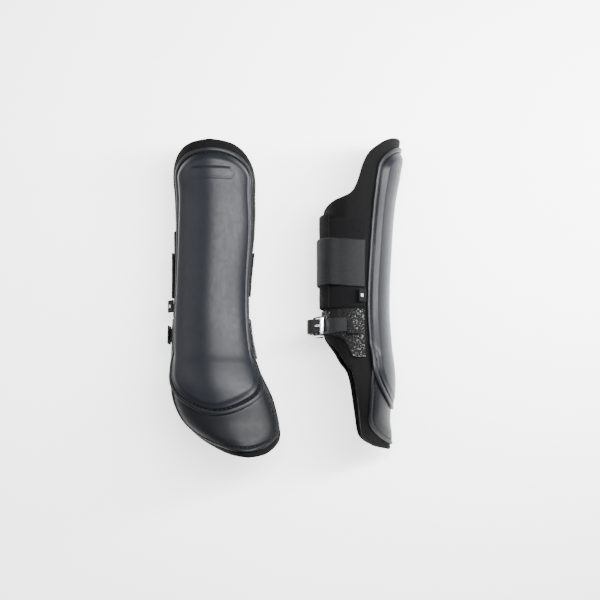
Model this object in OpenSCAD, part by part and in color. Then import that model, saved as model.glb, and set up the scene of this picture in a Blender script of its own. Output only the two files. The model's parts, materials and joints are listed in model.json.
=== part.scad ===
// A pair of tendon boots for a horse's lower leg, closed and lying on the floor.
// Each boot is first drawn upright: z runs up the leg from the tip of the fetlock tail,
// the moulded shell faces -y, its label edge is at -x and the straps close at +y.
// Points on a boot are given as [angle round the leg, height]: angle 0 is the middle of
// the shell, negative angles are the label side, and 180 is the strap side.

/* [Boot] */
// Height of a boot from the tip of its tail to its top rim
boot_h = 300; // [290:1:310]
// Thickness of the neoprene liner
liner_t = 4.5; // [3.5:0.1:4.6]
// Depth of the closed liner from the leg's middle to the strap side, inside
strap_side = 24.5; // [22:0.5:27]

/* [Shell] */
// Thickness of the moulded strike shell
shell_t = 2.2; // [1.8:0.1:2.4]
// Height of the padding under the middle of the shell
pad_rise = 3; // [2.6:0.1:3.4]
// Lowest point of the main shell
shell_low = 39; // [36:1:42]
// Highest point of the main shell
shell_high = 291; // [288:1:293]

/* [Straps] */
// Width of the elastic strap
elastic_w = 44; // [38:1:46]
// Thickness of the elastic strap
elastic_t = 1.8; // [1.4:0.1:2]
// Width of the buckled strap
strap_w = 13.5; // [12:0.5:13.5]
// Thickness of the buckled strap
strap_t = 2; // [1.6:0.1:2.1]
// Height of the buckled strap's middle above the tail's tip
buckle_z = 117; // [116:0.5:118]

/* [Buckle] */
// Distance between the buckle's two bars
buckle_len = 17; // [16.5:0.1:17.5]
// Overall width of the buckle frame
buckle_w = 20.4; // [20.2:0.1:21]
// Radius of the frame's rod
rod_r = 1.3; // [1.2:0.05:1.4]

/* [Layout] */
// Distance from the first boot's axis to the second's
boot_gap = 136; // [128:1:145]
// How far the first boot's upper end leans down onto its elastic strap, in degrees
first_lean = 6.75; // [6.6:0.05:6.9]
// How far the second boot's upper end leans down from its flared tail, in degrees
second_lean = 5.85; // [5.7:0.05:6]

/* [Hidden] */
PIECES = [
    "liner", "inner_lining", "shell_foam", "main_shell", "main_shell_stitching",
    "fetlock_guard", "fetlock_guard_stitching", "loop_panel", "closure_flap",
    "flap_hook_pad", "elastic_strap", "strap_hook_pad", "near_reinforcement",
    "far_reinforcement", "buckle_strap", "strap_anchor_tab", "buckle_chape",
    "buckle_frame", "buckle_tongue", "buckle_roller", "strap_keeper", "label_tab"
];
$fn = 48;

gap = 0.5;
// Extra room where a piece lies on the liner
clear = 0.4;
lining_gap = 2;
lining_t = 1.1;
full = 178;
layer = liner_t + gap;
k = boot_h / 300;

// Driving curves of the leg form, as [height, value]
HALF_WIDTH = [[0, 16], [5, 21.5], [16, 33], [27, 39.4], [40, 43], [60, 43.6], [93, 35.6],
    [122, 32.3], [160, 31.2], [220, 34.4], [250, 35], [268, 36.6], [300, 36]];
SHIFT = [[0, 37], [17, 28], [37, 16.8], [59, 9], [78, 4], [120, -0.6], [160, -0.6],
    [220, 1.6], [260, 1], [300, -1]];
SHELL_DEPTH = [[0, 33], [14, 31], [30, 28.6], [50, 29.3], [72, 29], [100, 26],
    [136, 24], [187, 26.3], [235, 30.5], [270, 37], [300, 42]];

// Top and bottom edge of the liner, as [angle, height]
LINER_TOP = [[0, 300], [30, 297.5], [48, 293], [62, 286], [72, 279], [80, 267],
    [86, 253], [94, 244], [108, 239.5], [135, 236], [178, 229]];
LINER_LOW = [[0, 0], [30, 1.2], [50, 3], [62, 5.5], [72, 9.5], [79, 16], [83, 32], [87, 46],
    [92, 62], [100, 75], [115, 84], [130, 94], [150, 101.5], [178, 109]];
LINER_COLUMNS = [0, 12, 24, 34, 43, 52, 60, 67, 73, 78, 81, 83.5, 86, 89, 93, 99, 107, 117,
    130, 145, 161, 178];

function at(p, x, i = 0) =
    i < len(p) - 2 && x >= p[i + 1][0] ? at(p, x, i + 1) :
    let (a = p[i], b = p[i + 1], before = i > 0 ? p[i - 1] : a,
        after = i < len(p) - 2 ? p[i + 2] : b, h = b[0] - a[0],
        s = min(1, max(0, (x - a[0]) / h)),
        ma = (b[1] - before[1]) / (b[0] - before[0]) * h,
        mb = (after[1] - a[1]) / (after[0] - a[0]) * h)
    (2 * s ^ 3 - 3 * s ^ 2 + 1) * a[1] + (s ^ 3 - 2 * s ^ 2 + s) * ma
        + (3 * s ^ 2 - 2 * s ^ 3) * b[1] + (s ^ 3 - s ^ 2) * mb;

function smooth(s) = let (c = min(1, max(0, s))) c * c * (3 - 2 * c);

// A point at an angle and height on the leg form, t outside the liner's inner face
function form(angle, z, t) =
    let (depth = cos(angle) > 0 ? at(SHELL_DEPTH, z) : strap_side)
    [at(SHIFT, z) + (at(HALF_WIDTH, z) + t) * sin(angle), -(depth + t) * cos(angle), z * k];

// How far a row's edge is drawn in near the rounded ends of an outline
function rounded(z, low, high, r_low, r_high) =
    min(sqrt(max(0, 1 - (1 - min(1, (z - low) / r_low)) ^ 2)),
        sqrt(max(0, 1 - (1 - min(1, (high - z) / r_high)) ^ 2)));

// Heights from low to high, closer together at the two rounded ends
function rows(low, high, n) =
    [for (i = [0 : n]) low + (high - low) * (0.012 + 0.976 * (1 - cos(180 * i / n)) / 2)];

// A closed sheet over a grid of [angle, height] points, between two thickness grids
module sheet(grid, inner, outer) {
    ni = len(grid);
    nj = len(grid[0]);
    half = ni * nj;
    points = concat(
        [for (i = [0 : ni - 1]) for (j = [0 : nj - 1]) form(grid[i][j][0], grid[i][j][1], outer[i][j])],
        [for (i = [0 : ni - 1]) for (j = [0 : nj - 1]) form(grid[i][j][0], grid[i][j][1], inner[i][j])]);
    rim = concat(
        [for (j = [0 : nj - 1]) j],
        [for (i = [1 : ni - 1]) i * nj + nj - 1],
        [for (j = [nj - 2 : -1 : 0]) (ni - 1) * nj + j],
        [for (i = [ni - 2 : -1 : 1]) i * nj]);
    nr = len(rim);
    faces = concat(
        [for (i = [0 : ni - 2]) for (j = [0 : nj - 2]) for (tri = let (p = i * nj + j)
            [[p, p + nj, p + nj + 1], [p, p + nj + 1, p + 1],
             [half + p, half + p + nj + 1, half + p + nj], [half + p, half + p + 1, half + p + nj + 1]]) tri],
        [for (i = [0 : nr - 1]) for (tri = let (a = rim[i], b = rim[(i + 1) % nr])
            [[a, b, half + b], [a, half + b, half + a]]) tri]);
    polyhedron(points, faces);
}

// A sheet of even thickness
module even_sheet(grid, t, thick) {
    inner = [for (row = grid) [for (p = row) t]];
    outer = [for (row = grid) [for (p = row) t + thick]];
    sheet(grid, inner, outer);
}

// A strap wrapped from one angle to another, its inner face following a rise curve
function strap_grid(angles, low, high, n) =
    [for (i = [0 : n]) [for (a = angles) [a, low + (high - low) * i / n]]];
function steps(from, to, n) = [for (i = [0 : n]) from + (to - from) * i / n];
module strap(angles, low, high, n, rise, thick) {
    grid = strap_grid(angles, low, high, n);
    inner = [for (row = grid) [for (p = row) at(rise, p[0])]];
    outer = [for (row = grid) [for (p = row) at(rise, p[0]) + thick]];
    sheet(grid, inner, outer);
}

// A thread laid along a row of [angle, height, rise] points, closed into a ring or open
module thread(path, r, closed = true) {
    n = len(path);
    centre = [for (p = path) form(p[0], p[1], p[2])];
    function near(i) = closed ? (i + n) % n : max(0, min(n - 1, i));
    points = [for (i = [0 : n - 1])
        let (along = centre[near(i + 1)] - centre[near(i - 1)],
            out = form(path[i][0], path[i][1], path[i][2] + 1) - centre[i],
            side = cross(along, out), s = side / norm(side), o = cross(s, along), u = o / norm(o))
        for (corner = [u, s, -u, -s]) centre[i] + corner * r];
    sides = [for (i = [0 : closed ? n - 1 : n - 2]) for (c = [0 : 3]) for (tri =
        let (a = i * 4 + c, b = i * 4 + (c + 1) % 4, m = (i + 1) % n, d = m * 4 + c, e = m * 4 + (c + 1) % 4)
        [[a, d, e], [a, e, b]]) tri];
    last = 4 * n - 4;
    ends = [[0, 1, 2], [0, 2, 3], [last, last + 2, last + 1], [last, last + 3, last + 2]];
    polyhedron(points, closed ? sides : concat(sides, ends));
}

// Shell outlines: half width and middle of each row in degrees, as [height, angle]
SHELL_HALF = [[39, 46], [60, 60], [90, 66], [140, 69], [200, 65], [250, 61], [291, 59]];
SHELL_MID = [[39, -8], [60, -2], [90, 0], [291, 1]];
GUARD_HALF = [[5, 68], [40, 69], [70, 66], [86, 60]];
guard_low = 5;
guard_high = 86;
guard_t = 2;
flange_w = 4;
crown_w = 8;
mm_per_deg = 0.7;

function shell_half(z) = at(SHELL_HALF, z) * rounded(z, shell_low, shell_high, 40, 26);
function guard_half(z) = at(GUARD_HALF, z) * rounded(z, guard_low, guard_high, 27, 8);
function from_edge(angle, z) = min((shell_half(z) - abs(angle - at(SHELL_MID, z))) * mm_per_deg,
    z - shell_low, shell_high - z);
// The shell's inner face steps over the fetlock guard and rises over its padding
function shell_in(angle, z) = layer + max((guard_t + gap) * smooth((97 - z) / 10),
    pad_rise * smooth((from_edge(angle, z) - flange_w) / crown_w));
// Places across a row from -1 to 1, closer together at the edges
function across(n) = [for (j = [0 : n]) sin(180 * j / n - 90)];

module liner() color("#1b1b1d") {
    columns = concat([for (j = [len(LINER_COLUMNS) - 1 : -1 : 1]) -LINER_COLUMNS[j]], LINER_COLUMNS);
    grid = [for (v = steps(0, 1, 18)) [for (a = columns)
        let (low = at(LINER_LOW, abs(a)), high = at(LINER_TOP, abs(a))) [a, low + (high - low) * v]]];
    even_sheet(grid, 0, liner_t);
}

module inner_lining() color("#2a2b2e") {
    inset = 4;
    columns = steps(-full + inset, full - inset, 32);
    grid = [for (v = steps(0, 1, 10)) [for (a = columns)
        let (low = at(LINER_LOW, abs(a)) + inset, high = at(LINER_TOP, abs(a)) - inset)
        [a, low + (high - low) * v]]];
    even_sheet(grid, -lining_gap - lining_t, lining_t);
}

module shell_foam() color("#55585e") {
    inset = 13;
    low = 100;
    high = 280;
    grid = [for (z = rows(low, high, 12)) [for (u = across(10))
        [at(SHELL_MID, z) + u * (at(SHELL_HALF, z) - inset) * rounded(z, low, high, 12, 24), z]]];
    inner = [for (row = grid) [for (p = row) layer]];
    outer = [for (row = grid) [for (p = row)
        layer + 0.6 + (pad_rise - 1.2) * smooth((from_edge(p[0], p[1]) - 10) / crown_w)]];
    sheet(grid, inner, outer);
}

module main_shell() color("#565b65") {
    grid = [for (z = rows(shell_low, shell_high, 26)) [for (u = across(16))
        [at(SHELL_MID, z) + u * shell_half(z), z]]];
    inner = [for (row = grid) [for (p = row) shell_in(p[0], p[1])]];
    outer = [for (row = inner) [for (t = row) t + shell_t]];
    sheet(grid, inner, outer);
}

thread_r = 0.45;
thread_lift = 1.3;
function reversed(list) = [for (i = [len(list) - 1 : -1 : 0]) list[i]];
// One side of a stitch line inside a shell's edge, side is 1 or -1
function stitch_side(zs, half, mid, side) = [for (z = zs) [at(mid, z) + side * half(z), z]];

module main_shell_stitching() color("#17181a") {
    inset = 5;
    low = shell_low + inset;
    high = shell_high - inset;
    half = function (z) (at(SHELL_HALF, z) - 7.5) * rounded(z, low, high, 38, 22);
    count = 44;
    zs = [for (i = [0 : count - 1]) low + (high - low) * (1 - cos(180 * (i + 0.5) / count)) / 2];
    loop = concat(stitch_side(zs, half, SHELL_MID, 1), stitch_side(reversed(zs), half, SHELL_MID, -1));
    thread([for (p = loop) [p[0], p[1], shell_in(p[0], p[1]) + shell_t + thread_lift]], thread_r);
}

module fetlock_guard() color("#44474c") {
    grid = [for (z = rows(guard_low, guard_high, 16)) [for (u = across(14)) [u * guard_half(z), z]]];
    even_sheet(grid, layer + clear, guard_t - clear);
}

module fetlock_guard_stitching() color("#17181a") {
    inset = 4;
    low = guard_low + inset;
    top = 60;
    half = function (z) (at(GUARD_HALF, z) - 6) * rounded(z, low, guard_high, 25, 8);
    count = 20;
    zs = [for (i = [0 : count - 1]) low + (top - low) * ((i + 0.5) / count) ^ 2];
    mid = [[0, 0], [1, 0]];
    line = concat(stitch_side(reversed(zs), half, mid, 1), stitch_side(zs, half, mid, -1));
    thread([for (p = line) [p[0], p[1], layer + guard_t + thread_lift]], thread_r, closed = false);
}

module loop_panel() color("#202124") {
    strap(steps(-160, -73, 11), 133.5, 217, 3, [[-160, layer], [-73, layer]], 1.2);
}

FLAP_RISE = [[113, 5], [165, 5], [200, 7.6], [223, 7.6]];
flap_t = 2.2;
module closure_flap() color("#1e1f22") {
    strap(steps(113, 223, 14), 134, 223, 3, FLAP_RISE, flap_t);
}

module flap_hook_pad() color("#111214") {
    strap(steps(206, 221, 3), 137, 213, 2, [[206, 6.7], [221, 6.7]], 0.5);
}

ELASTIC_RISE = [[118, 8.9], [175, 8.9], [200, 10.4], [226, 10.4], [246, 7], [285, 6.8]];
elastic_low = 156;
function elastic_drop(a) = 4 * smooth((a - 200) / 85);
module elastic_strap() color("#26282b") {
    grid = [for (v = steps(0, 1, 3)) [for (a = steps(118, 285, 24))
        [a, elastic_low + elastic_w * v - elastic_drop(a)]]];
    inner = [for (row = grid) [for (p = row) at(ELASTIC_RISE, p[0])]];
    outer = [for (row = inner) [for (t = row) t + elastic_t]];
    sheet(grid, inner, outer);
}

module strap_hook_pad() color("#111214") {
    strap(steps(121, 148, 4), elastic_low + 2, elastic_low + elastic_w - 2, 2, [[121, 7.8], [148, 7.8]], 0.6);
}

patch_t = 1.5;
patch_top = 132;
NEAR_LOW = [[73, 87], [96, 88], [108, 101], [128, 107], [176, 113]];
FAR_LOW = [[73, 92], [100, 96], [125, 105], [176, 113]];
module reinforcement(low_curve, side) {
    angles = side > 0 ? steps(74, 176, 14) : steps(-176, -74, 14);
    grid = [for (v = steps(0, 1, 4)) [for (a = angles)
        let (low = at(low_curve, abs(a))) [a, low + (patch_top - low) * v]]];
    even_sheet(grid, layer + clear / 2, patch_t - clear / 2);
}
module near_reinforcement() color("#0d0d0f") reinforcement(NEAR_LOW, -1);
module far_reinforcement() color("#0d0d0f") reinforcement(FAR_LOW, 1);

// Buckle: the heel bar and the end bar, each at [angle, rise] on the leg form
HEEL = [190, 14.3];
END = [212, 11.8];
bore_r = rod_r + 0.3;
roller_r = 2.2;
slot_w = 3.4;
function on_plane(angle, t) = let (p = form(angle, buckle_z, t)) [p[0], p[1]];
heel = on_plane(HEEL[0], HEEL[1]);
towards_end = on_plane(END[0], END[1]) - heel;
buckle_dir = atan2(towards_end[1], towards_end[0]);
rail_z = buckle_w / 2 - rod_r;

// Buckle parts are drawn with the heel bar on z, the end bar at +x and outward at -y
module at_buckle() translate([heel[0], heel[1], buckle_z * k]) rotate([0, 0, buckle_dir]) children();

// A level strap cut from an even profile that follows a rise curve round the leg
module level_strap(angles, rise, thick, width) {
    inner = [for (a = angles) on_plane(a, at(rise, a))];
    outer = [for (i = [len(angles) - 1 : -1 : 0]) on_plane(angles[i], at(rise, angles[i]) + thick)];
    translate([0, 0, buckle_z * k]) linear_extrude(width, center = true) polygon(concat(inner, outer));
}

STRAP_RISE = [[150, 10.3], [163, 12.8], [178, 17.2], [187, 18.6], [194, 17.6], [202, 12.6],
    [210, 7.8], [216, 7.1], [264, 7.1]];
module buckle_strap() color("#2c2d30") difference() {
    level_strap(steps(150, 264, 57), STRAP_RISE, strap_t, strap_w);
    at_buckle() translate([-1.5, -12, -slot_w / 2]) cube([15.5, 20, slot_w]);
}

module strap_anchor_tab() color("#0d0d0f") {
    strap(steps(256, 276, 5), buckle_z - 9, buckle_z + 9, 4, [[256, 9.5], [276, 9.5]], 1.5);
}

// The folded strap end: along the liner, round the heel bar and back over itself
CHAPE_RISE = [[122, 7.7], [150, 7.4], [165, 8.3], [176, 10.2], [188, 11.6]];
chape_t = 1.6;
chape_fold_r = 2.6;
chape_lap = 2.2;
chape_path = concat(
    [for (a = steps(122, 176, 13)) on_plane(a, at(CHAPE_RISE, a) + chape_t / 2)],
    [for (turn = steps(110, -110, 14))
        heel + chape_fold_r * [cos(buckle_dir + turn), sin(buckle_dir + turn)]],
    [for (a = steps(177, 167, 4)) on_plane(a, at(CHAPE_RISE, a) + chape_t / 2 + chape_lap)]);
function beside(path, i, gap) = let (n = len(path) - 1,
    along = path[min(n, i + 1)] - path[max(0, i - 1)]) path[i] + gap * [-along[1], along[0]] / norm(along);
module buckle_chape() color("#2c2d30") difference() {
    last = len(chape_path) - 1;
    translate([0, 0, buckle_z * k]) linear_extrude(strap_w - 0.5, center = true)
        polygon(concat([for (i = [0 : last]) beside(chape_path, i, chape_t / 2)],
            [for (i = [last : -1 : 0]) beside(chape_path, i, -chape_t / 2)]));
    at_buckle() translate([-4.2, -5, -slot_w / 2]) cube([9, 10, slot_w]);
}

module rod(length) cylinder(r = rod_r, h = length, center = true);
module buckle_frame() color("#d9dadc") at_buckle() {
    for (x = [0, buckle_len]) translate([x, 0, 0]) rod(2 * rail_z);
    for (side = [1, -1]) {
        translate([buckle_len / 2, 0, side * rail_z]) rotate([0, 90, 0]) rod(buckle_len);
        for (x = [0, buckle_len]) translate([x, 0, side * rail_z]) sphere(r = rod_r);
    }
}

module buckle_tongue() color("#cfd0d3") at_buckle() {
    ring_r = 2.8;
    prong_r = 0.9;
    start = [1.2, -2];
    tip = [buckle_len + 1.6, -(roller_r + prong_r + 0.4)];
    span = tip - start;
    difference() {
        union() {
            cylinder(r = ring_r, h = 2.4, center = true);
            translate([start[0], start[1], 0]) rotate([0, 0, atan2(span[1], span[0])])
                rotate([0, 90, 0]) cylinder(r = prong_r, h = norm(span));
        }
        cylinder(r = bore_r, h = 6, center = true);
    }
}

module buckle_roller() color("#e2e3e5") at_buckle() translate([buckle_len, 0, 0]) difference() {
    cylinder(r = roller_r, h = 2 * rail_z - 3.2, center = true);
    cylinder(r = bore_r, h = buckle_w, center = true);
}

module strap_keeper() color("#1c1c1f") {
    angle = 158;
    foot = on_plane(angle, 7.1);
    turn = on_plane(angle + 1, 7.1) - foot;
    translate([foot[0], foot[1], buckle_z * k]) rotate([0, 0, atan2(turn[1], turn[0])]) difference() {
        translate([-2.5, -9, -9.2]) cube([5, 9, 18.4]);
        translate([-4, -7.6, -7.6]) cube([8, 9, 15.2]);
    }
}

module label_tab() color("#111113") translate([-38.1, -9.4, 138 * k]) rotate([0, 0, 129])
    translate([0, -0.6, 0]) cube([9, 1.2, 12]);

// Where the two boots lie: the first with its shell up, the second turned a quarter
// turn round its leg axis so that its label side is up
first_x = -70.3;
first_place = [first_x, -154.4, 59.1];
second_place = [first_x + boot_gap, -147.4, 68.3];
module lying(place, lean, turn) translate(place) rotate([-90 - lean, 0, 0]) rotate([0, 0, turn]) children();
module left() lying(first_place, first_lean, 0) children();
module right() lying(second_place, second_lean, 90) children();

left() liner();  // left_liner
left() inner_lining();  // left_inner_lining
left() shell_foam();  // left_shell_foam
left() main_shell();  // left_main_shell
left() main_shell_stitching();  // left_main_shell_stitching
left() fetlock_guard();  // left_fetlock_guard
left() fetlock_guard_stitching();  // left_fetlock_guard_stitching
left() loop_panel();  // left_loop_panel
left() closure_flap();  // left_closure_flap
left() flap_hook_pad();  // left_flap_hook_pad
left() elastic_strap();  // left_elastic_strap
left() strap_hook_pad();  // left_strap_hook_pad
left() near_reinforcement();  // left_near_reinforcement
left() far_reinforcement();  // left_far_reinforcement
left() buckle_strap();  // left_buckle_strap
left() strap_anchor_tab();  // left_strap_anchor_tab
left() buckle_chape();  // left_buckle_chape
left() buckle_frame();  // left_buckle_frame
left() buckle_tongue();  // left_buckle_tongue
left() buckle_roller();  // left_buckle_roller
left() strap_keeper();  // left_strap_keeper
left() label_tab();  // left_label_tab
right() liner();  // right_liner
right() inner_lining();  // right_inner_lining
right() shell_foam();  // right_shell_foam
right() main_shell();  // right_main_shell
right() main_shell_stitching();  // right_main_shell_stitching
right() fetlock_guard();  // right_fetlock_guard
right() fetlock_guard_stitching();  // right_fetlock_guard_stitching
right() loop_panel();  // right_loop_panel
right() closure_flap();  // right_closure_flap
right() flap_hook_pad();  // right_flap_hook_pad
right() elastic_strap();  // right_elastic_strap
right() strap_hook_pad();  // right_strap_hook_pad
right() near_reinforcement();  // right_near_reinforcement
right() far_reinforcement();  // right_far_reinforcement
right() buckle_strap();  // right_buckle_strap
right() strap_anchor_tab();  // right_strap_anchor_tab
right() buckle_chape();  // right_buckle_chape
right() buckle_frame();  // right_buckle_frame
right() buckle_tongue();  // right_buckle_tongue
right() buckle_roller();  // right_buckle_roller
right() strap_keeper();  // right_strap_keeper
right() label_tab();  // right_label_tab
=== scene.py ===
"""A pair of tendon boots, closed and lying on a pale floor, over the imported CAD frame.

Each boot is worked out once in its own upright frame, in millimetres: z up the leg, the shell facing
-y, the label edge at -x. A point is [angle round the leg, height, offset outside the liner's inner
face]. Two placements, read from the record's joints, then put every piece into the row frame.
"""

import json
import math

import bpy
import numpy as np
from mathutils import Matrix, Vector

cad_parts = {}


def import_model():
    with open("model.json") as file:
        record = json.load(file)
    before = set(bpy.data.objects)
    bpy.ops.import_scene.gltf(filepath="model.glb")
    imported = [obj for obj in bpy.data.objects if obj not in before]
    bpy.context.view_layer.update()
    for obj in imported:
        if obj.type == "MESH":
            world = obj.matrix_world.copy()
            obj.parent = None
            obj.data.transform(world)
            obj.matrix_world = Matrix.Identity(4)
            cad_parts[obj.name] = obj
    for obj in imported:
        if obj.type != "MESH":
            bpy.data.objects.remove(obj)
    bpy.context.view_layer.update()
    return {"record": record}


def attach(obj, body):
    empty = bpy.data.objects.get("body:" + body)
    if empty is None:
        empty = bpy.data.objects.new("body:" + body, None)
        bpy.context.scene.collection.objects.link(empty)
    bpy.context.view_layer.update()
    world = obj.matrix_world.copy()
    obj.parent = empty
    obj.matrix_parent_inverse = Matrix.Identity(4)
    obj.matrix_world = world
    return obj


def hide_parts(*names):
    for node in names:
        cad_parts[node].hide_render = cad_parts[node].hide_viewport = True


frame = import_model()
record = frame["record"]
joints = {j["name"]: j for j in record["behaviour"]["joints"]}
SIDES = ("left", "right")
MM = 0.001
MM_PER_DEG = 0.7

# ---------------------------------------------------------------- design, as the CAD has it

HALF_WIDTH = [[0, 16], [5, 21.5], [16, 33], [27, 39.4], [40, 43], [60, 43.6], [93, 35.6],
              [122, 32.3], [160, 31.2], [220, 34.4], [250, 35], [268, 36.6], [300, 36]]
SHIFT = [[0, 37], [17, 28], [37, 16.8], [59, 9], [78, 4], [120, -0.6], [160, -0.6],
              [220, 1.6], [260, 1], [300, -1]]
SHELL_DEPTH = [[0, 33], [14, 31], [30, 28.6], [50, 29.3], [72, 29], [100, 26], [136, 24],
               [187, 26.3], [235, 30.5], [270, 37], [300, 42]]
STRAP_SIDE = 24.5
LINER_TOP = [[0, 300], [30, 297.5], [48, 293], [62, 286], [72, 279], [80, 267], [86, 253],
             [94, 244], [108, 239.5], [135, 236], [178, 229]]
LINER_LOW = [[0, 0], [30, 1.2], [50, 3], [62, 5.5], [72, 9.5], [79, 16], [83, 32], [87, 46],
              [92, 62], [100, 75], [115, 84], [130, 94], [150, 101.5], [178, 109]]
LINER_T = 4.5
LAYER = 5.0
SHELL_HALF = [[39, 46], [60, 60], [90, 66], [140, 69], [200, 65], [250, 61], [291, 59]]
SHELL_MID = [[39, -8], [60, -2], [90, 0], [291, 1]]
SHELL_LOW, SHELL_HIGH, SHELL_T, PAD_RISE = 39, 291, 2.2, 3
GUARD_HALF = [[5, 68], [40, 69], [70, 66], [86, 60]]
GUARD_LOW, GUARD_HIGH, GUARD_T = 5, 86, 2
FLAP_RISE = [[113, 5], [165, 5], [200, 7.6], [223, 7.6]]
ELASTIC_RISE = [[118, 8.9], [175, 8.9], [200, 10.4], [226, 10.4], [246, 7], [285, 6.8]]
NEAR_LOW = [[73, 87], [96, 88], [108, 101], [128, 107], [176, 113]]
FAR_LOW = [[73, 92], [100, 96], [125, 105], [176, 113]]
STRAP_RISE = [[150, 10.3], [163, 12.8], [178, 17.2], [187, 18.6], [194, 17.6], [202, 12.6],
              [210, 7.8], [216, 7.1], [264, 7.1]]
CHAPE_RISE = [[122, 7.7], [150, 7.4], [165, 8.3], [176, 10.2], [188, 11.6]]
BUCKLE_Z, BUCKLE_LEN, STRAP_W, ROD_R, RAIL_Z = 117, 17, 13.5, 1.3, 8.9
HEEL, END = (190, 14.3), (212, 11.8)
PEEL_HINGE = (285, 175, 7.7)

# ---------------------------------------------------------------- finish of the visible surfaces, in mm

GROOVE_AT, GROOVE_W, GROOVE_DEEP = 4.7, 0.85, 1.1
GUARD_GROOVE_AT, GUARD_GROOVE_DEEP = 4.2, 0.8
STEP_TOP, STEP_RUN, STEP_SPARE = 103, 16, 0.5
THREAD_RISE = 0.3
KNOT_Z = 117
KNOT_RADII = (0.3, 0.8, 1.1, 1.2, 1.1, 0.8, 0.3)
STITCH_RADII = (0.189, 0.357, 0.42, 0.42, 0.357, 0.189)
STITCH_LEN, STITCH_PITCH = 3.1, 4.0
PLATE_Z, PLATE_HALF_W, PLATE_HALF_H = 267, 19, 5
SHARP_FROM_DEG = 40

# ---------------------------------------------------------------- light, floor and camera, in metres

SHELL_IOR = 1.21
FLOOR_GLOW = 1.6
FLOOR_Z = -0.0008
FLOOR_HALF = 1.6
WORLD_LEVEL = 0.2
CAMERA_AT = (0.0142, -0.0045, 1.06)
LENS, SENSOR = 62.8, 36


def at(points, x):
    """The smooth curve through control points, the same one as the CAD's."""
    p = np.array(points, float)
    x = np.asarray(x, float)
    i = np.clip(np.searchsorted(p[:, 0], x, side="right") - 1, 0, len(p) - 2)
    before, after = np.maximum(i - 1, 0), np.minimum(i + 2, len(p) - 1)
    h = p[i + 1, 0] - p[i, 0]
    s = np.clip((x - p[i, 0]) / h, 0, 1)
    ma = (p[i + 1, 1] - p[before, 1]) / (p[i + 1, 0] - p[before, 0]) * h
    mb = (p[after, 1] - p[i, 1]) / (p[after, 0] - p[i, 0]) * h
    return ((2 * s**3 - 3 * s**2 + 1) * p[i, 1] + (s**3 - 2 * s**2 + s) * ma
            + (3 * s**2 - 2 * s**3) * p[i + 1, 1] + (s**3 - s**2) * mb)


def smooth(s):
    c = np.clip(s, 0, 1)
    return c * c * (3 - 2 * c)


def form(angle, z, t):
    """Upright boot coordinates of a point, in millimetres."""
    a = np.radians(np.asarray(angle, float))
    depth = np.where(np.cos(a) > 0, at(SHELL_DEPTH, z), STRAP_SIDE)
    x = at(SHIFT, z) + (at(HALF_WIDTH, z) + t) * np.sin(a)
    y = -(depth + t) * np.cos(a)
    return np.stack(np.broadcast_arrays(x, y, np.asarray(z, float)), axis=-1)


def rounded(z, low, high, r_low, r_high):
    """How far a row is drawn in near the rounded ends of an outline, from 0 to 1."""
    a = np.sqrt(np.clip(1 - (1 - np.clip((z - low) / r_low, 0, 1)) ** 2, 0, 1))
    b = np.sqrt(np.clip(1 - (1 - np.clip((high - z) / r_high, 0, 1)) ** 2, 0, 1))
    return np.minimum(a, b)


def shell_half(z):
    return at(SHELL_HALF, z) * rounded(z, SHELL_LOW, SHELL_HIGH, 40, 26)


def guard_half(z):
    return at(GUARD_HALF, z) * rounded(z, GUARD_LOW, GUARD_HIGH, 27, 8)


def spaced(length, edge, step):
    """Places from 0 to 1 over a length: close together over the edge at each end, then even."""
    bend = edge * (1 - np.cos(np.linspace(0, math.pi / 2, 6)))
    count = max(2, int(round((length - 2 * edge) / step)))
    middle = np.linspace(edge, length - edge, count + 1)[1:-1]
    return np.concatenate([bend, middle, (length - bend)[::-1]]) / length


def edge_fall(distance, radius):
    """Rounds a sheet's edge: 0 at the edge, 1 from radius inwards."""
    return np.sqrt(np.clip(1 - (1 - np.clip(distance / radius, 0, 1)) ** 2, 0.0004, 1))


# ---------------------------------------------------------------- meshes in the boot's frame


class Shape:
    """A closed mesh in upright boot coordinates, with a UV in millimetres and a groove mask, which marks
    where the materials paint shade into the sewn groove.
    """

    def __init__(self, verts, faces, uv=None, groove=None):
        self.verts = np.asarray(verts, float)
        self.faces = faces
        self.uv = uv
        self.groove = groove

    def joined(self, *others):
        verts, faces, uvs = [self.verts], list(self.faces), [self.uv]
        offset = len(self.verts)
        for other in others:
            verts.append(other.verts)
            uvs.append(other.uv)
            faces += [[i + offset for i in f] for f in other.faces]
            offset += len(other.verts)
        uv = None if any(u is None for u in uvs) else np.concatenate(uvs)
        return Shape(np.concatenate(verts), faces, uv)


def grid_faces(ni, nj, start, flip=False, wrap=False):
    """Quads over a grid of ni rows and nj columns of points that begins at index start."""
    faces = []
    for i in range(ni - 1):
        for j in range(nj if wrap else nj - 1):
            p, q = start + i * nj + j, start + i * nj + (j + 1) % nj
            quad = [p, q, q + nj, p + nj]
            faces.append(quad[::-1] if flip else quad)
    return faces


def skin(angle, z, t_in, t_out, groove=None, place=form):
    """A closed sheet between two offsets over a grid of [angle, height] points."""
    ni, nj = angle.shape
    half = ni * nj
    verts = np.concatenate([place(angle, z, t_out).reshape(-1, 3), place(angle, z, t_in).reshape(-1, 3)])
    faces = grid_faces(ni, nj, 0) + grid_faces(ni, nj, half, flip=True)
    rim = list(range(nj)) + [i * nj + nj - 1 for i in range(1, ni)]
    rim += [(ni - 1) * nj + j for j in range(nj - 2, -1, -1)] + [i * nj for i in range(ni - 2, 0, -1)]
    for a, b in zip(rim, rim[1:] + rim[:1]):
        faces.append([a, half + a, half + b, b])
    uv = np.stack([angle * MM_PER_DEG, z], axis=-1).reshape(-1, 2)
    mask = None if groove is None else np.concatenate([groove.reshape(-1), np.zeros(half)])
    return Shape(verts, faces, np.concatenate([uv, uv]), mask)


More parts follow.
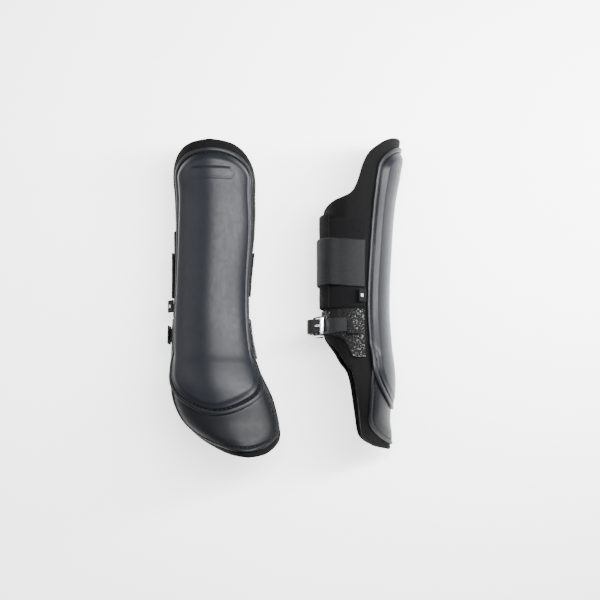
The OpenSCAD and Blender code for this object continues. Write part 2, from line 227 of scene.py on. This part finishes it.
def wrapped(a0, a1, low, high, t_in, thick, edge=1.0, step=1.6, crown=0.0, ripple=0.0):
    """A sheet wrapped from angle a0 to a1, between two height curves. t_in is a function of angle and
    height, crown lifts its middle and ripple gives its outer face the slight waves of a soft sheet."""
    width = (a1 - a0) * MM_PER_DEG
    along = a0 + (a1 - a0) * spaced(width, edge, step)
    lows, highs = low(along), high(along)
    up = spaced(float(np.mean(highs - lows)), edge, step)
    angle = np.repeat(along[None, :], len(up), axis=0)
    z = lows[None, :] + (highs - lows)[None, :] * up[:, None]
    side = np.minimum(along - a0, a1 - along)[None, :] * MM_PER_DEG
    distance = np.minimum(side, np.minimum(z - lows, highs - z))
    fall = edge_fall(distance, edge)
    inner = t_in(angle, z)
    ridges = np.sin(angle * 0.21 + z * 0.05) + 0.6 * np.sin(z * 0.19 - angle * 0.07)
    waves = ripple * ridges * smooth(distance / 8)
    middle = inner + thick / 2
    lift = crown * smooth(distance / 7) + waves
    return skin(angle, z, middle - thick / 2 * fall, middle + thick / 2 * fall + lift)


def outline(mid, half, low, high, n=1400):
    """The closed outline of a shell as [arc millimetres, height] points, evenly spaced."""
    s = (1 - np.cos(np.linspace(0, math.pi, 700))) / 2
    z = low + (high - low) * s
    right = np.stack([(mid(z) + half(z)) * MM_PER_DEG, z], -1)
    left = np.stack([(mid(z) - half(z)) * MM_PER_DEG, z], -1)[::-1]
    loop = np.concatenate([right, left[1:-1], right[:1]])
    run = np.concatenate([[0], np.cumsum(np.linalg.norm(np.diff(loop, axis=0), axis=1))])
    even = np.linspace(0, run[-1], n, endpoint=False)
    return np.stack([np.interp(even, run, loop[:, 0]), np.interp(even, run, loop[:, 1])], -1)


def to_outline(edge, angle, z):
    """Distance in millimetres from each grid point to the outline."""
    points = np.stack([angle * MM_PER_DEG, z], -1).reshape(-1, 2)
    found = np.empty(len(points))
    for i in range(0, len(points), 4000):
        part = points[i:i + 4000]
        found[i:i + 4000] = np.sqrt(((part[:, None, :] - edge[None, :, :]) ** 2).sum(-1).min(1))
    return found.reshape(angle.shape)


def inset(edge, distance):
    """The outline moved inwards by a distance."""
    along = np.roll(edge, -3, axis=0) - np.roll(edge, 3, axis=0)
    normal = np.stack([-along[:, 1], along[:, 0]], -1)
    normal /= np.linalg.norm(normal, axis=1)[:, None]
    return edge + normal * distance


def tube(path, radii, sides=10, closed=False):
    """A round rod along points in boot coordinates, with a radius for each point."""
    path = np.asarray(path, float)
    n = len(path)
    radii = np.broadcast_to(radii, n)
    ahead = np.roll(path, -1, axis=0) - np.roll(path, 1, axis=0)
    if not closed:
        ahead[0], ahead[-1] = path[1] - path[0], path[-1] - path[-2]
    ahead /= np.linalg.norm(ahead, axis=1)[:, None]
    across = np.zeros_like(path)
    guide = np.array([0.31, 0.22, 0.92])
    for i in range(n):
        c = guide - ahead[i] * (guide @ ahead[i])
        across[i] = c / np.linalg.norm(c)
        guide = across[i]
    turn = np.linspace(0, 2 * math.pi, sides, endpoint=False)
    up = np.cross(ahead, across)
    rings = (path[:, None, :] + radii[:, None, None] * (np.cos(turn)[None, :, None] * across[:, None, :]
             + np.sin(turn)[None, :, None] * up[:, None, :]))
    verts = rings.reshape(-1, 3)
    faces = [[i * sides + j, i * sides + (j + 1) % sides, m * sides + (j + 1) % sides, m * sides + j]
             for i in range(n if closed else n - 1) for m in [(i + 1) % n] for j in range(sides)]
    if not closed:
        faces += [list(range(sides))[::-1], [(n - 1) * sides + j for j in range(sides)]]
    run = np.concatenate([[0], np.cumsum(np.linalg.norm(np.diff(path, axis=0), axis=1))])
    uv = np.stack([np.repeat(run, sides), np.tile(turn, n)], -1)
    return Shape(verts, faces, uv)


# ---------------------------------------------------------------- the pieces' shapes


def flat_curve(value):
    return lambda a: np.full(np.shape(a), float(value))


def rise(points):
    return lambda a, z: at(points, a)


def level(t):
    return lambda a, z: np.full(np.shape(a), float(t))


def by_side(points, margin=0.0):
    """An edge curve given over the angle's size, the same on both sides of the boot."""
    return lambda a: at(points, np.abs(a)) + margin


def liner():
    return wrapped(-178, 178, by_side(LINER_LOW), by_side(LINER_TOP), level(0), LINER_T,
                   edge=2.2, step=1.7, ripple=0.22)


def inner_lining():
    return wrapped(-174, 174, by_side(LINER_LOW, 4), by_side(LINER_TOP, -4), level(-3.1), 1.1,
                   edge=0.6, step=2.6)


shell_edge = outline(lambda z: at(SHELL_MID, z), shell_half, SHELL_LOW, SHELL_HIGH)
guard_edge = outline(lambda z: 0 * z, guard_half, GUARD_LOW, GUARD_HIGH, 900)


def shell_inner(distance, z):
    """The shell's inner face: it steps over the guard below and rises round the padding above."""
    step = (GUARD_T + STEP_SPARE) * smooth((STEP_TOP - z) / STEP_RUN)
    padding = PAD_RISE * smooth((distance - 4) / 8)
    return LAYER + (step ** 4 + padding ** 4) ** 0.25


def badge(angle, z):
    """A plain sunk plate with a narrow rim line, near the shell's top: 1 in the line, 0 elsewhere."""
    x, y = np.abs(angle * MM_PER_DEG), np.abs(z - PLATE_Z)
    size = np.maximum(x + 0.55 * y - PLATE_HALF_W, y - PLATE_HALF_H)
    return np.exp(-((size / 0.55) ** 2)), smooth(0.5 - size / 0.8)


def shell_outer(distance, angle, z):
    """The moulded face: flange, sewn groove, padded crown, and the sunk plate."""
    groove = np.exp(-(((distance - GROOVE_AT) / GROOVE_W) ** 2))
    line, plate = badge(angle, z)
    bead = 0.1 * np.exp(-(((distance - 2.2) / 1.1) ** 2))
    soft = 0.3 * smooth((distance - 8) / 18)
    return (shell_inner(distance, z) + SHELL_T + bead + soft - GROOVE_DEEP * groove
            - 0.35 * line - 0.22 * plate)


def shell_grid(mid, half, low, high, step):
    rows = low + (high - low) * spaced(high - low, 3.0, step)
    rows = np.clip(rows, low + 0.02, high - 0.02)
    widest = float(np.max(half(rows))) * 2 * MM_PER_DEG
    u = 2 * spaced(widest, 2.0, step) - 1
    angle = mid(rows)[:, None] + half(rows)[:, None] * u[None, :]
    return angle, np.repeat(rows[:, None], len(u), axis=1)


def main_shell():
    angle, z = shell_grid(lambda r: at(SHELL_MID, r), shell_half, SHELL_LOW, SHELL_HIGH, 0.85)
    distance = to_outline(shell_edge, angle, z)
    fall = edge_fall(distance, 0.8)
    inner = shell_inner(distance, z)
    outer = shell_outer(distance, angle, z)
    # The groove mask marks the sewn groove, where the shell material paints shade.
    groove = np.exp(-(((distance - GROOVE_AT) / 1.0) ** 4))
    return skin(angle, z, inner, inner + 0.7 + (outer - inner - 0.7) * fall, groove)


def guard_outer(distance):
    groove = np.exp(-(((distance - GUARD_GROOVE_AT) / GROOVE_W) ** 2))
    bead = 0.25 * np.exp(-((distance - 2.1) ** 2))
    crown = 0.45 * smooth((distance - 5) / 7)
    return LAYER + GUARD_T - 0.1 + bead + crown - GUARD_GROOVE_DEEP * groove


def fetlock_guard():
    angle, z = shell_grid(lambda r: 0 * r, guard_half, GUARD_LOW, GUARD_HIGH, 0.9)
    distance = to_outline(guard_edge, angle, z)
    covered = smooth((to_signed_shell(angle, z) + 1.5) / 3)
    outer = guard_outer(distance)
    outer = outer + (np.minimum(outer, LAYER + GUARD_T) - outer) * covered
    # The groove mask marks the guard's sewn groove, where the guard material paints shade.
    groove = np.exp(-(((distance - GUARD_GROOVE_AT) / 0.7) ** 4))
    rounded_outer = LAYER + 0.6 + (outer - LAYER - 0.6) * edge_fall(distance, 1.0)
    return skin(angle, z, np.full_like(z, LAYER), rounded_outer, groove)


def to_signed_shell(angle, z):
    """Distance inside the main shell's outline, negative outside it."""
    inside = (z > SHELL_LOW) & (z < SHELL_HIGH) & (np.abs(angle - at(SHELL_MID, z)) < shell_half(z))
    return np.where(inside, 1, -1) * to_outline(shell_edge, angle, z)


def stitches(path):
    """A row of sewn stitches along points in boot coordinates: short rods with sunk ends."""
    run = np.concatenate([[0], np.cumsum(np.linalg.norm(np.diff(path, axis=0), axis=1))])
    rods = []
    for start in STITCH_PITCH * np.arange(int(run[-1] // STITCH_PITCH)):
        s = start + np.linspace(0, STITCH_LEN, len(STITCH_RADII))
        line = np.stack([np.interp(s, run, path[:, c]) for c in range(3)], -1)
        rod = tube(line, STITCH_RADII, sides=6)
        rod.uv = rod.uv + [start, 0]
        rods.append(rod)
    return rods[0].joined(*rods[1:])


def main_shell_stitching():
    line = inset(shell_edge, GROOVE_AT)
    angle, z = line[:, 0] / MM_PER_DEG, line[:, 1]
    path = form(angle, z, shell_outer(np.full(len(z), GROOVE_AT), angle, z) + THREAD_RISE)
    start = int(np.argmin(np.abs(z - KNOT_Z) + 1000 * (angle > 0)))
    knot = tube(path[start:start + len(KNOT_RADII)], KNOT_RADII, sides=8)
    return stitches(path).joined(knot)


def fetlock_guard_stitching():
    line = inset(guard_edge, GUARD_GROOVE_AT)
    angle, z = line[:, 0] / MM_PER_DEG, line[:, 1]
    shown = (z < 62) & (to_signed_shell(angle, z) < -0.5)
    points = form(angle, z, float(guard_outer(np.array(GUARD_GROOVE_AT))) + THREAD_RISE)
    start = int(np.argmax(shown & ~np.roll(shown, 1)))
    order = np.roll(np.arange(len(z)), -start)
    keep = [i for i in order if shown[i]]
    return stitches(points[keep])


def loop_panel():
    return wrapped(-160, -73, flat_curve(133.5), flat_curve(217), level(LAYER), 1.2, edge=0.6, step=1.4)


def closure_flap():
    return wrapped(113, 223, flat_curve(134), flat_curve(223), rise(FLAP_RISE), 2.2,
                   edge=1.1, step=1.5, ripple=0.12)


def elastic_strap():
    def drop(a):
        return -4 * smooth((a - 200) / 85)
    return wrapped(118, 285, lambda a: 156 + drop(a), lambda a: 200 + drop(a), rise(ELASTIC_RISE), 1.8,
                   edge=0.8, step=1.2)


def flap_hook_pad():
    return wrapped(206, 221, flat_curve(137), flat_curve(213), level(6.7), 0.5, edge=0.2, step=2.0)


def strap_hook_pad():
    return wrapped(121, 148, flat_curve(158), flat_curve(198), level(7.8), 0.6, edge=0.2, step=2.0)


def shell_foam():
    """The padding under the crown: it fills the space between the liner and the shell."""
    low, high = 100, 280

    def half(z):
        return (at(SHELL_HALF, z) - 13) * rounded(z, low, high, 12, 24)

    angle, z = shell_grid(lambda r: at(SHELL_MID, r), half, low, high, 2.4)
    depth = to_outline(shell_edge, angle, z)
    thick = 0.5 + (PAD_RISE - 1.3) * smooth((depth - 10) / 8)
    return skin(angle, z, np.full_like(z, LAYER), LAYER + thick)


def reinforcement(curve, side):
    a0, a1 = (74, 176) if side > 0 else (-176, -74)
    return wrapped(a0, a1, by_side(curve), flat_curve(132), level(LAYER), 1.5,
                   edge=0.7, step=1.2, crown=0.15)


def buckle_strap():
    return wrapped(150, 264, flat_curve(BUCKLE_Z - STRAP_W / 2), flat_curve(BUCKLE_Z + STRAP_W / 2),
                   rise(STRAP_RISE), 2.0, edge=0.8, step=0.9)


def strap_anchor_tab():
    return wrapped(256, 276, flat_curve(BUCKLE_Z - 9), flat_curve(BUCKLE_Z + 9), level(9.3), 1.4, edge=0.8,
                   step=0.9, crown=0.35)


# Buckle pieces are drawn with the heel bar on z, the end bar at +x and outward at -y
heel = form(HEEL[0], BUCKLE_Z, HEEL[1])
towards = form(END[0], BUCKLE_Z, END[1]) - heel
towards /= np.linalg.norm(towards)
inward = np.array([-towards[1], towards[0], 0])


def at_buckle(points):
    """Upright boot coordinates of points drawn in the buckle's own frame."""
    p = np.asarray(points, float)
    return heel + p[:, :1] * towards + p[:, 1:2] * inward + p[:, 2:] * np.array([0, 0, 1])


def buckle_frame():
    corner = 2.6
    loop = []
    for cx, cz, start in ((BUCKLE_LEN - corner, RAIL_Z - corner, 0), (corner, RAIL_Z - corner, 90),
                          (corner, corner - RAIL_Z, 180), (BUCKLE_LEN - corner, corner - RAIL_Z, 270)):
        for turn in np.radians(start + np.linspace(0, 90, 8)):
            loop.append([cx + corner * math.cos(turn), 0, cz + corner * math.sin(turn)])
    loop = np.array(loop)
    dense = []
    for a, b in zip(loop, np.roll(loop, -1, axis=0)):
        count = max(1, int(np.linalg.norm(b - a) / 1.2))
        dense += [a + (b - a) * k / count for k in range(count)]
    return tube(at_buckle(dense), ROD_R, sides=16, closed=True)


def buckle_tongue():
    ring = [[2.2 * math.cos(t), 2.2 * math.sin(t), 0] for t in np.radians(np.linspace(20, 285, 26))]
    tip_y = -(2.2 + 0.9 + 0.4)
    prong = [[x, -2.15 + (tip_y + 2.15) * smooth(x / 14), 0] for x in np.linspace(2.2, BUCKLE_LEN + 1.4, 18)]
    path = np.array(ring + prong)
    radii = np.concatenate([np.full(len(ring), 0.58), np.linspace(0.8, 0.88, 15), [0.86, 0.75, 0.45]])
    shape = tube(at_buckle(path), radii, sides=12)
    wide = at_buckle([[0, 0, 0]])[0][2]
    shape.verts[:, 2] = wide + (shape.verts[:, 2] - wide) * 1.35
    return shape


def buckle_roller():
    profile = [(-7.3, 1.62), (-7.3, 1.95), (-7.1, 2.17), (-6.8, 2.2), (0, 2.2), (6.8, 2.2),
               (7.1, 2.17), (7.3, 1.95), (7.3, 1.62), (0, 1.62)]
    sides = 32
    turn = np.linspace(0, 2 * math.pi, sides, endpoint=False)
    verts = [[BUCKLE_LEN + r * math.cos(a), r * math.sin(a), z] for z, r in profile for a in turn]
    faces = grid_faces(len(profile), sides, 0, wrap=True)
    last = (len(profile) - 1) * sides
    faces += [[last + j, last + (j + 1) % sides, (j + 1) % sides, j] for j in range(sides)]
    return Shape(at_buckle(verts), faces, np.zeros((len(verts), 2)))


def band(path, across, width, thick):
    """A flat band swept along points: across is the direction of its width."""
    path = np.asarray(path, float)
    ahead = np.gradient(path, axis=0)
    ahead /= np.linalg.norm(ahead, axis=1)[:, None]
    out = np.cross(ahead, across)
    section = []
    for t in np.linspace(0, 2 * math.pi, 24, endpoint=False):
        c, s = math.cos(t), math.sin(t)
        wide = math.copysign(abs(c) ** 0.25, c) * width / 2
        deep = math.copysign(abs(s) ** 0.5, s) * thick / 2
        section.append([wide, deep])
    verts = [p + across * a + o * b for p, o in zip(path, out) for a, b in section]
    n = len(section)
    faces = grid_faces(len(path), n, 0, wrap=True)
    faces += [list(range(n))[::-1], [(len(path) - 1) * n + j for j in range(n)]]
    run = np.concatenate([[0], np.cumsum(np.linalg.norm(np.diff(path, axis=0), axis=1))])
    uv = [[r, a] for r in run for a, b in section]
    return Shape(verts, faces, np.array(uv, float))


def buckle_chape():
    """The strap end that is sewn to the liner and folded round the heel bar, slit for the tongue."""
    half = STRAP_W / 2 - 0.25
    lay = [form(a, BUCKLE_Z, at(CHAPE_RISE, a) + 0.8) for a in np.linspace(122, 176, 32)]
    turns = np.radians(np.linspace(110, -110, 26))
    fold = at_buckle([[2.6 * math.cos(t), 2.6 * math.sin(t), 0] for t in turns])
    back = [form(a, BUCKLE_Z, at(CHAPE_RISE, a) + 3.0) for a in np.linspace(177, 167, 8)]
    path = np.array(lay + list(fold) + back)
    up = np.array([0.0, 0.0, 1.0])
    strips = [band(path + up * side * (half + 1.8) / 2, up, half - 1.8, 1.5) for side in (1, -1)]
    tail = band(np.array(lay[:28]), up, 4.2, 1.45)
    return strips[0].joined(strips[1], tail)


def strap_keeper():
    foot = form(158, BUCKLE_Z, 7.1)
    turn = form(159, BUCKLE_Z, 7.1) - foot
    turn /= np.linalg.norm(turn)
    out = np.cross(turn, [0, 0, 1.0])
    out *= np.sign(out @ (foot * [1, 1, 0]))
    section = [(-8.4, 0.2), (-8.4, 3), (-8.4, 6.2)]
    section += [(-6.6 - 1.8 * math.cos(t), 6.4 + 1.8 * math.sin(t)) for t in np.radians([15, 35, 55, 75, 90])]
    section += [(z, 8.2) for z in (-4, 0, 4)]
    section += [(-z, h) for z, h in reversed(section[:8])]
    path = [foot + out * h + np.array([0, 0, z]) for z, h in section]
    return band(path, turn, 4.8, 1.3)


def label_tab():
    """A woven label folded in two, with its fold standing out from the liner's edge."""
    start = form(-72, 144, 7.4)
    way = np.array([math.cos(math.radians(129)), math.sin(math.radians(129)), 0])
    across = np.cross(way, [0, 0, 1.0])
    out = [(s, 0.33 + 0.15 * math.sin(s * 0.5)) for s in np.linspace(0.2, 8.4, 10)]
    fold = [(8.4 + 0.34 * math.cos(t), 0.34 * math.sin(t)) for t in np.radians([60, 20, -20, -60])]
    back = [(s, d - 0.66) for s, d in reversed(out)]
    path = [start + way * s + across * d for s, d in out + fold + back]
    return band(path, np.array([0, 0, 1.0]), 12, 0.45)


# ---------------------------------------------------------------- placing the pieces


def frame_of(side):
    """Rotation and offset that put upright boot millimetres into the row frame in metres."""
    hinge = joints[side + "_elastic_strap_peel"]
    ez = np.array(hinge["axis"], float)
    flat = np.array([1.0, 0, 0])
    if side == "left":
        ex = flat
        ey = np.cross(ez, ex)
    else:
        ey = -flat
        ex = np.cross(ey, ez)
    rotation = np.stack([ex, ey, ez], axis=1)
    origin = np.array(hinge["pos_m"], float) - rotation @ form(*PEEL_HINGE) * MM
    return rotation, origin


def mesh_object(name, shape, side, material):
    """The shape as a Blender mesh in the row frame, placed for one boot."""
    rotation, origin = frame_of(side)
    points = shape.verts @ rotation.T * MM + origin
    mesh = bpy.data.meshes.new(name)
    mesh.from_pydata(points.tolist(), [], [list(map(int, f)) for f in shape.faces])
    loops = np.empty(len(mesh.loops), dtype=np.int32)
    mesh.loops.foreach_get("vertex_index", loops)
    if shape.uv is not None:
        layer = mesh.uv_layers.new(name="length")
        layer.data.foreach_set("uv", (np.asarray(shape.uv)[loops] * MM).astype(np.float32).ravel())
    # The groove mask goes on the mesh for the materials, which paint shade into the sewn groove with it.
    if shape.groove is not None:
        mask = mesh.attributes.new("groove", "FLOAT", "POINT")
        mask.data.foreach_set("value", np.asarray(shape.groove, dtype=np.float32))
    mesh.validate()
    mesh.materials.append(material)
    made = bpy.data.objects.new(name, mesh)
    bpy.context.collection.objects.link(made)
    mesh.shade_smooth()
    mesh.set_sharp_from_angle(angle=math.radians(SHARP_FROM_DEG))
    return made


# ---------------------------------------------------------------- materials


class Nodes:
    """A procedural material being put together: a Principled shader and helpers to feed it."""

    def __init__(self, name, color, roughness, metallic=0.0, **constants):
        self.mat = bpy.data.materials.new(name)
        self.mat.use_nodes = True
        self.tree = self.mat.node_tree
        self.shader = self.tree.nodes["Principled BSDF"]
        self.shader.inputs["Base Color"].default_value = (*color, 1)
        self.shader.inputs["Roughness"].default_value = roughness
        self.shader.inputs["Metallic"].default_value = metallic
        for socket, value in constants.items():
            self.shader.inputs[socket.replace("_", " ")].default_value = value
        self.normal = None

    def add(self, kind, **inputs):
        node = self.tree.nodes.new("ShaderNode" + kind)
        for socket, value in inputs.items():
            node.inputs[socket.replace("_", " ")].default_value = value
        return node

    def link(self, a, b):
        self.tree.links.new(a, b)

    def place(self, uv=False):
        """Object or UV coordinates."""
        return self.add("TexCoord").outputs["UV" if uv else "Object"]

    def noise(self, scale, detail):
        node = self.add("TexNoise", Scale=scale, Detail=detail)
        self.link(self.place(), node.inputs["Vector"])
        return node.outputs["Fac"]

    def cells(self, scale):
        node = self.add("TexVoronoi", Scale=scale)
        node.feature = "SMOOTH_F1"
        node.inputs["Smoothness"].default_value = 0.4
        self.link(self.place(), node.inputs["Vector"])
        return node.outputs["Distance"]

    def waves(self, scale, axis):
        node = self.add("TexWave", Scale=scale)
        node.bands_direction = axis
        self.link(self.place(uv=True), node.inputs["Vector"])
        return node.outputs["Fac"]

    def attribute(self, name):
        node = self.add("Attribute")
        node.attribute_name = name
        return node.outputs["Fac"]

    def bump(self, height, distance, strength):
        node = self.add("Bump", Distance=distance, Strength=strength)
        self.link(height, node.inputs["Height"])
        if self.normal is not None:
            self.link(self.normal, node.inputs["Normal"])
        self.normal = node.outputs["Normal"]
        self.link(self.normal, self.shader.inputs["Normal"])

    def mixed(self, factor, low, high):
        """The colour from low to high as the factor goes from 0 to 1."""
        node = self.add("Mix")
        node.data_type = "RGBA"
        self.link(factor, node.inputs[0])
        for socket, value in ((6, low), (7, high)):
            if isinstance(value, tuple):
                node.inputs[socket].default_value = (*value, 1)
            else:
                self.link(value, node.inputs[socket])
        return node.outputs[2]

    def ramp(self, value, low, high, to_low=0.0, to_high=1.0):
        node = self.add("MapRange", From_Min=low, From_Max=high, To_Min=to_low, To_Max=to_high)
        self.link(value, node.inputs["Value"])
        return node.outputs["Result"]

    def varied(self, factor, color, low, high):
        """The colour scaled from low to high as the factor goes from 0 to 1."""
        return self.mixed(factor, tuple(c * low for c in color), tuple(c * high for c in color))

    def math(self, operation, *values):
        node = self.add("Math")
        node.operation = operation
        for socket, value in zip(node.inputs, values):
            if isinstance(value, float):
                socket.default_value = value
            else:
                self.link(value, socket)
        return node.outputs[0]

    def near(self, value, centre, reach):
        """1 where the value is within reach of the centre, else 0."""
        return self.math("COMPARE", value, centre, reach)

    def paint(self, color):
        self.link(color, self.shader.inputs["Base Color"])

    def dull(self, value):
        self.link(value, self.shader.inputs["Roughness"])


def shell_material(name, color, groove_shade_color, roughness):
    m = Nodes(name, color, roughness, IOR=SHELL_IOR)
    patchy = m.varied(m.ramp(m.noise(55, 5), 0.35, 0.65), color, 0.95, 1.05)
    # Painted shade: the groove mask turns the colour nearly black in the sewn groove, standing in for the
    # shade in that recess.
    m.paint(m.mixed(m.attribute("groove"), patchy, groove_shade_color))
    m.dull(m.ramp(m.noise(240, 5), 0.3, 0.7, roughness - 0.03, roughness + 0.05))
    m.bump(m.noise(1500, 3), 0.00012, 0.35)
    return m.mat


def knit_material(name, color, sheen):
    m = Nodes(name, color, 0.85, Specular_IOR_Level=0.12, Sheen_Weight=sheen, Sheen_Roughness=0.5)
    m.paint(m.varied(m.ramp(m.noise(70, 6), 0.3, 0.7), color, 0.82, 1.2))
    m.bump(m.waves(900, "X"), 0.0001, 0.5)
    m.bump(m.waves(720, "Y"), 0.0001, 0.5)
    m.bump(m.noise(350, 4), 0.0002, 0.4)
    return m.mat


def loop_material(name, color):
    m = Nodes(name, color, 0.95, Specular_IOR_Level=0.08, Sheen_Weight=0.02, Sheen_Roughness=0.6)
    fuzz = m.noise(1100, 8)
    m.paint(m.varied(m.ramp(fuzz, 0.3, 0.7), color, 0.6, 1.5))
    m.bump(fuzz, 0.0005, 0.8)
    return m.mat


def elastic_material(name, color):
    m = Nodes(name, color, 0.7, Specular_IOR_Level=0.18, Sheen_Weight=0.02, Sheen_Roughness=0.45)
    ribs = m.waves(210, "Y")
    picks = m.waves(420, "X")
    m.paint(m.varied(m.ramp(ribs, 0.2, 0.9), color, 0.75, 1.15))
    m.bump(ribs, 0.0002, 0.6)
    m.bump(picks, 0.00015, 0.6)
    return m.mat


def patent_material(name, color):
    m = Nodes(name, color, 0.3, Specular_IOR_Level=0.2)
    m.dull(m.ramp(m.noise(760, 3), 0.5, 0.6, 0.95, 0.2))
    m.bump(m.cells(520), 0.0006, 0.8)
    m.bump(m.noise(200, 4), 0.0004, 0.5)
    return m.mat


def leather_material(name, color):
    m = Nodes(name, color, 0.55, Specular_IOR_Level=0.25)
    m.bump(m.cells(900), 0.0002, 0.5)
    m.bump(m.noise(160, 5), 0.0003, 0.4)
    return m.mat


def metal_material(name):
    m = Nodes(name, (0.78, 0.78, 0.79), 0.14, metallic=1.0)
    m.dull(m.ramp(m.noise(300, 4), 0.3, 0.7, 0.1, 0.2))
    m.bump(m.noise(500, 3), 0.00005, 0.3)
    return m.mat


def thread_material(name, color):
    m = Nodes(name, color, 0.6, Specular_IOR_Level=0.3)
    m.bump(m.waves(700, "DIAGONAL"), 0.0002, 0.8)
    return m.mat


def foam_material(name, color):
    m = Nodes(name, color, 0.95, Specular_IOR_Level=0.15)
    m.bump(m.cells(700), 0.0006, 0.7)
    return m.mat


def floor_material():
    m = Nodes("pale_floor", (0.9, 0.9, 0.9), 0.8, Specular_IOR_Level=0.1)
    m.paint(m.mixed(m.ramp(m.noise(3, 2), 0.3, 0.7), (0.89, 0.89, 0.89), (0.91, 0.91, 0.91)))
    m.shader.inputs["Emission Color"].default_value = (1, 1, 1, 1)
    m.shader.inputs["Emission Strength"].default_value = FLOOR_GLOW
    return m.mat


def label_material():
    """Black woven tape, folded in two, with a plain pale square on each side for a printed mark."""
    black = (0.002, 0.002, 0.0025)
    fold_at, mark_at, mark_half = 0.0088, 0.0052, 0.0015
    m = Nodes("label", black, 0.8, Specular_IOR_Level=0.12)
    parts = m.add("SeparateXYZ")
    m.link(m.place(uv=True), parts.inputs[0])
    along = m.math("PINGPONG", parts.outputs[0], fold_at)
    inside = m.math("MULTIPLY", m.near(along, mark_at, mark_half), m.near(parts.outputs[1], 0.0, mark_half))
    m.paint(m.mixed(inside, black, (0.35, 0.35, 0.34)))
    m.bump(m.waves(1400, "X"), 0.0001, 0.5)
    return m.mat


MATERIALS = {
    "neoprene": knit_material("neoprene", (0.0008, 0.0008, 0.0009), sheen=0.0),
    "lining": knit_material("lining", (0.004, 0.004, 0.0045), sheen=0.02),
    "foam": foam_material("foam", (0.09, 0.10, 0.11)),
    # The shell and guard take a second, nearly black colour, which is painted shade for the sewn groove.
    "shell": shell_material("shell", (0.006, 0.0069, 0.0092), (0.0008, 0.0008, 0.001), 0.36),
    "guard": shell_material("guard", (0.0055, 0.006, 0.0071), (0.0008, 0.0008, 0.001), 0.42),
    "thread": thread_material("thread", (0.003, 0.003, 0.0035)),
    "loop_fabric": loop_material("loop_fabric", (0.0016, 0.0016, 0.002)),
    "hook_tape": loop_material("hook_tape", (0.004, 0.004, 0.0045)),
    "elastic": elastic_material("elastic", (0.003, 0.0032, 0.0037)),
    "patent": patent_material("patent", (0.0012, 0.0012, 0.0014)),
    "strap_leather": leather_material("strap_leather", (0.005, 0.0052, 0.006)),
    "buckle_metal": metal_material("buckle_metal"),
    "label": label_material(),
}


# ---------------------------------------------------------------- the pieces, put on both boots

# piece: shape, material slot, body ("boot" or the moving body's name)
PIECES = {
    "liner": (liner(), "neoprene", "boot"),
    "inner_lining": (inner_lining(), "lining", "boot"),
    "shell_foam": (shell_foam(), "foam", "boot"),
    "main_shell": (main_shell(), "shell", "boot"),
    "main_shell_stitching": (main_shell_stitching(), "thread", "boot"),
    "fetlock_guard": (fetlock_guard(), "guard", "boot"),
    "fetlock_guard_stitching": (fetlock_guard_stitching(), "thread", "boot"),
    "loop_panel": (loop_panel(), "loop_fabric", "boot"),
    "closure_flap": (closure_flap(), "neoprene", "closure_flap_body"),
    "flap_hook_pad": (flap_hook_pad(), "hook_tape", "closure_flap_body"),
    "elastic_strap": (elastic_strap(), "elastic", "elastic_strap_body"),
    "strap_hook_pad": (strap_hook_pad(), "hook_tape", "elastic_strap_body"),
    "near_reinforcement": (reinforcement(NEAR_LOW, -1), "patent", "boot"),
    "far_reinforcement": (reinforcement(FAR_LOW, 1), "patent", "boot"),
    "buckle_strap": (buckle_strap(), "strap_leather", "boot"),
    "strap_anchor_tab": (strap_anchor_tab(), "patent", "boot"),
    "buckle_chape": (buckle_chape(), "strap_leather", "boot"),
    "buckle_frame": (buckle_frame(), "buckle_metal", "buckle_frame_body"),
    "buckle_tongue": (buckle_tongue(), "buckle_metal", "buckle_tongue_body"),
    "buckle_roller": (buckle_roller(), "buckle_metal", "buckle_roller_body"),
    "strap_keeper": (strap_keeper(), "strap_leather", "boot"),
    "label_tab": (label_tab(), "label", "boot"),
}


def put_on(side):
    """Every piece of one boot, standing in for its CAD node and riding on its body."""
    made = {}
    for piece, (shape, slot, body) in PIECES.items():
        node = side + "_" + piece
        obj = mesh_object(node + "_seen", shape, side, MATERIALS[slot])
        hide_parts(node)
        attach(obj, side + "_" + body)
        made[piece] = obj
    return made


# ---------------------------------------------------------------- floor, light and camera


def floor():
    mesh = bpy.data.meshes.new("floor")
    s = FLOOR_HALF
    mesh.from_pydata([(-s, -s, 0), (s, -s, 0), (s, s, 0), (-s, s, 0)], [], [(0, 1, 2, 3)])
    mesh.materials.append(floor_material())
    made = bpy.data.objects.new("floor", mesh)
    made.location.z = FLOOR_Z
    bpy.context.collection.objects.link(made)


def softbox(name, centre, target, size, power):
    light = bpy.data.lights.new(name, "AREA")
    light.shape = "RECTANGLE"
    light.size, light.size_y = size
    light.energy = power
    made = bpy.data.objects.new(name, light)
    made.location = centre
    way = Vector(target) - Vector(centre)
    made.rotation_euler = way.to_track_quat("-Z", "Y").to_euler()
    bpy.context.collection.objects.link(made)


def world():
    made = bpy.data.worlds.new("soft_sky")
    made.use_nodes = True
    back = made.node_tree.nodes["Background"]
    back.inputs["Color"].default_value = (0.96, 0.98, 1.0, 1)
    back.inputs["Strength"].default_value = WORLD_LEVEL
    bpy.context.scene.world = made


def camera():
    data = bpy.data.cameras.new("overhead")
    data.lens = LENS
    data.sensor_width = SENSOR
    made = bpy.data.objects.new("overhead", data)
    made.location = CAMERA_AT
    bpy.context.collection.objects.link(made)
    bpy.context.scene.camera = made


for side in SIDES:
    put_on(side)
floor()
world()
softbox("key_right", (0.28, 0.14, 0.56), (-0.07, 0.12, 0.06), (0.11, 0.95), 27)
softbox("fill_left", (-1.2, 0.2, 0.9), (0.0, 0.0, 0.05), (0.5, 1.4), 14)
softbox("top", (0.0, 1.1, 1.2), (0.0, 0.0, 0.05), (1.4, 0.5), 5)
camera()
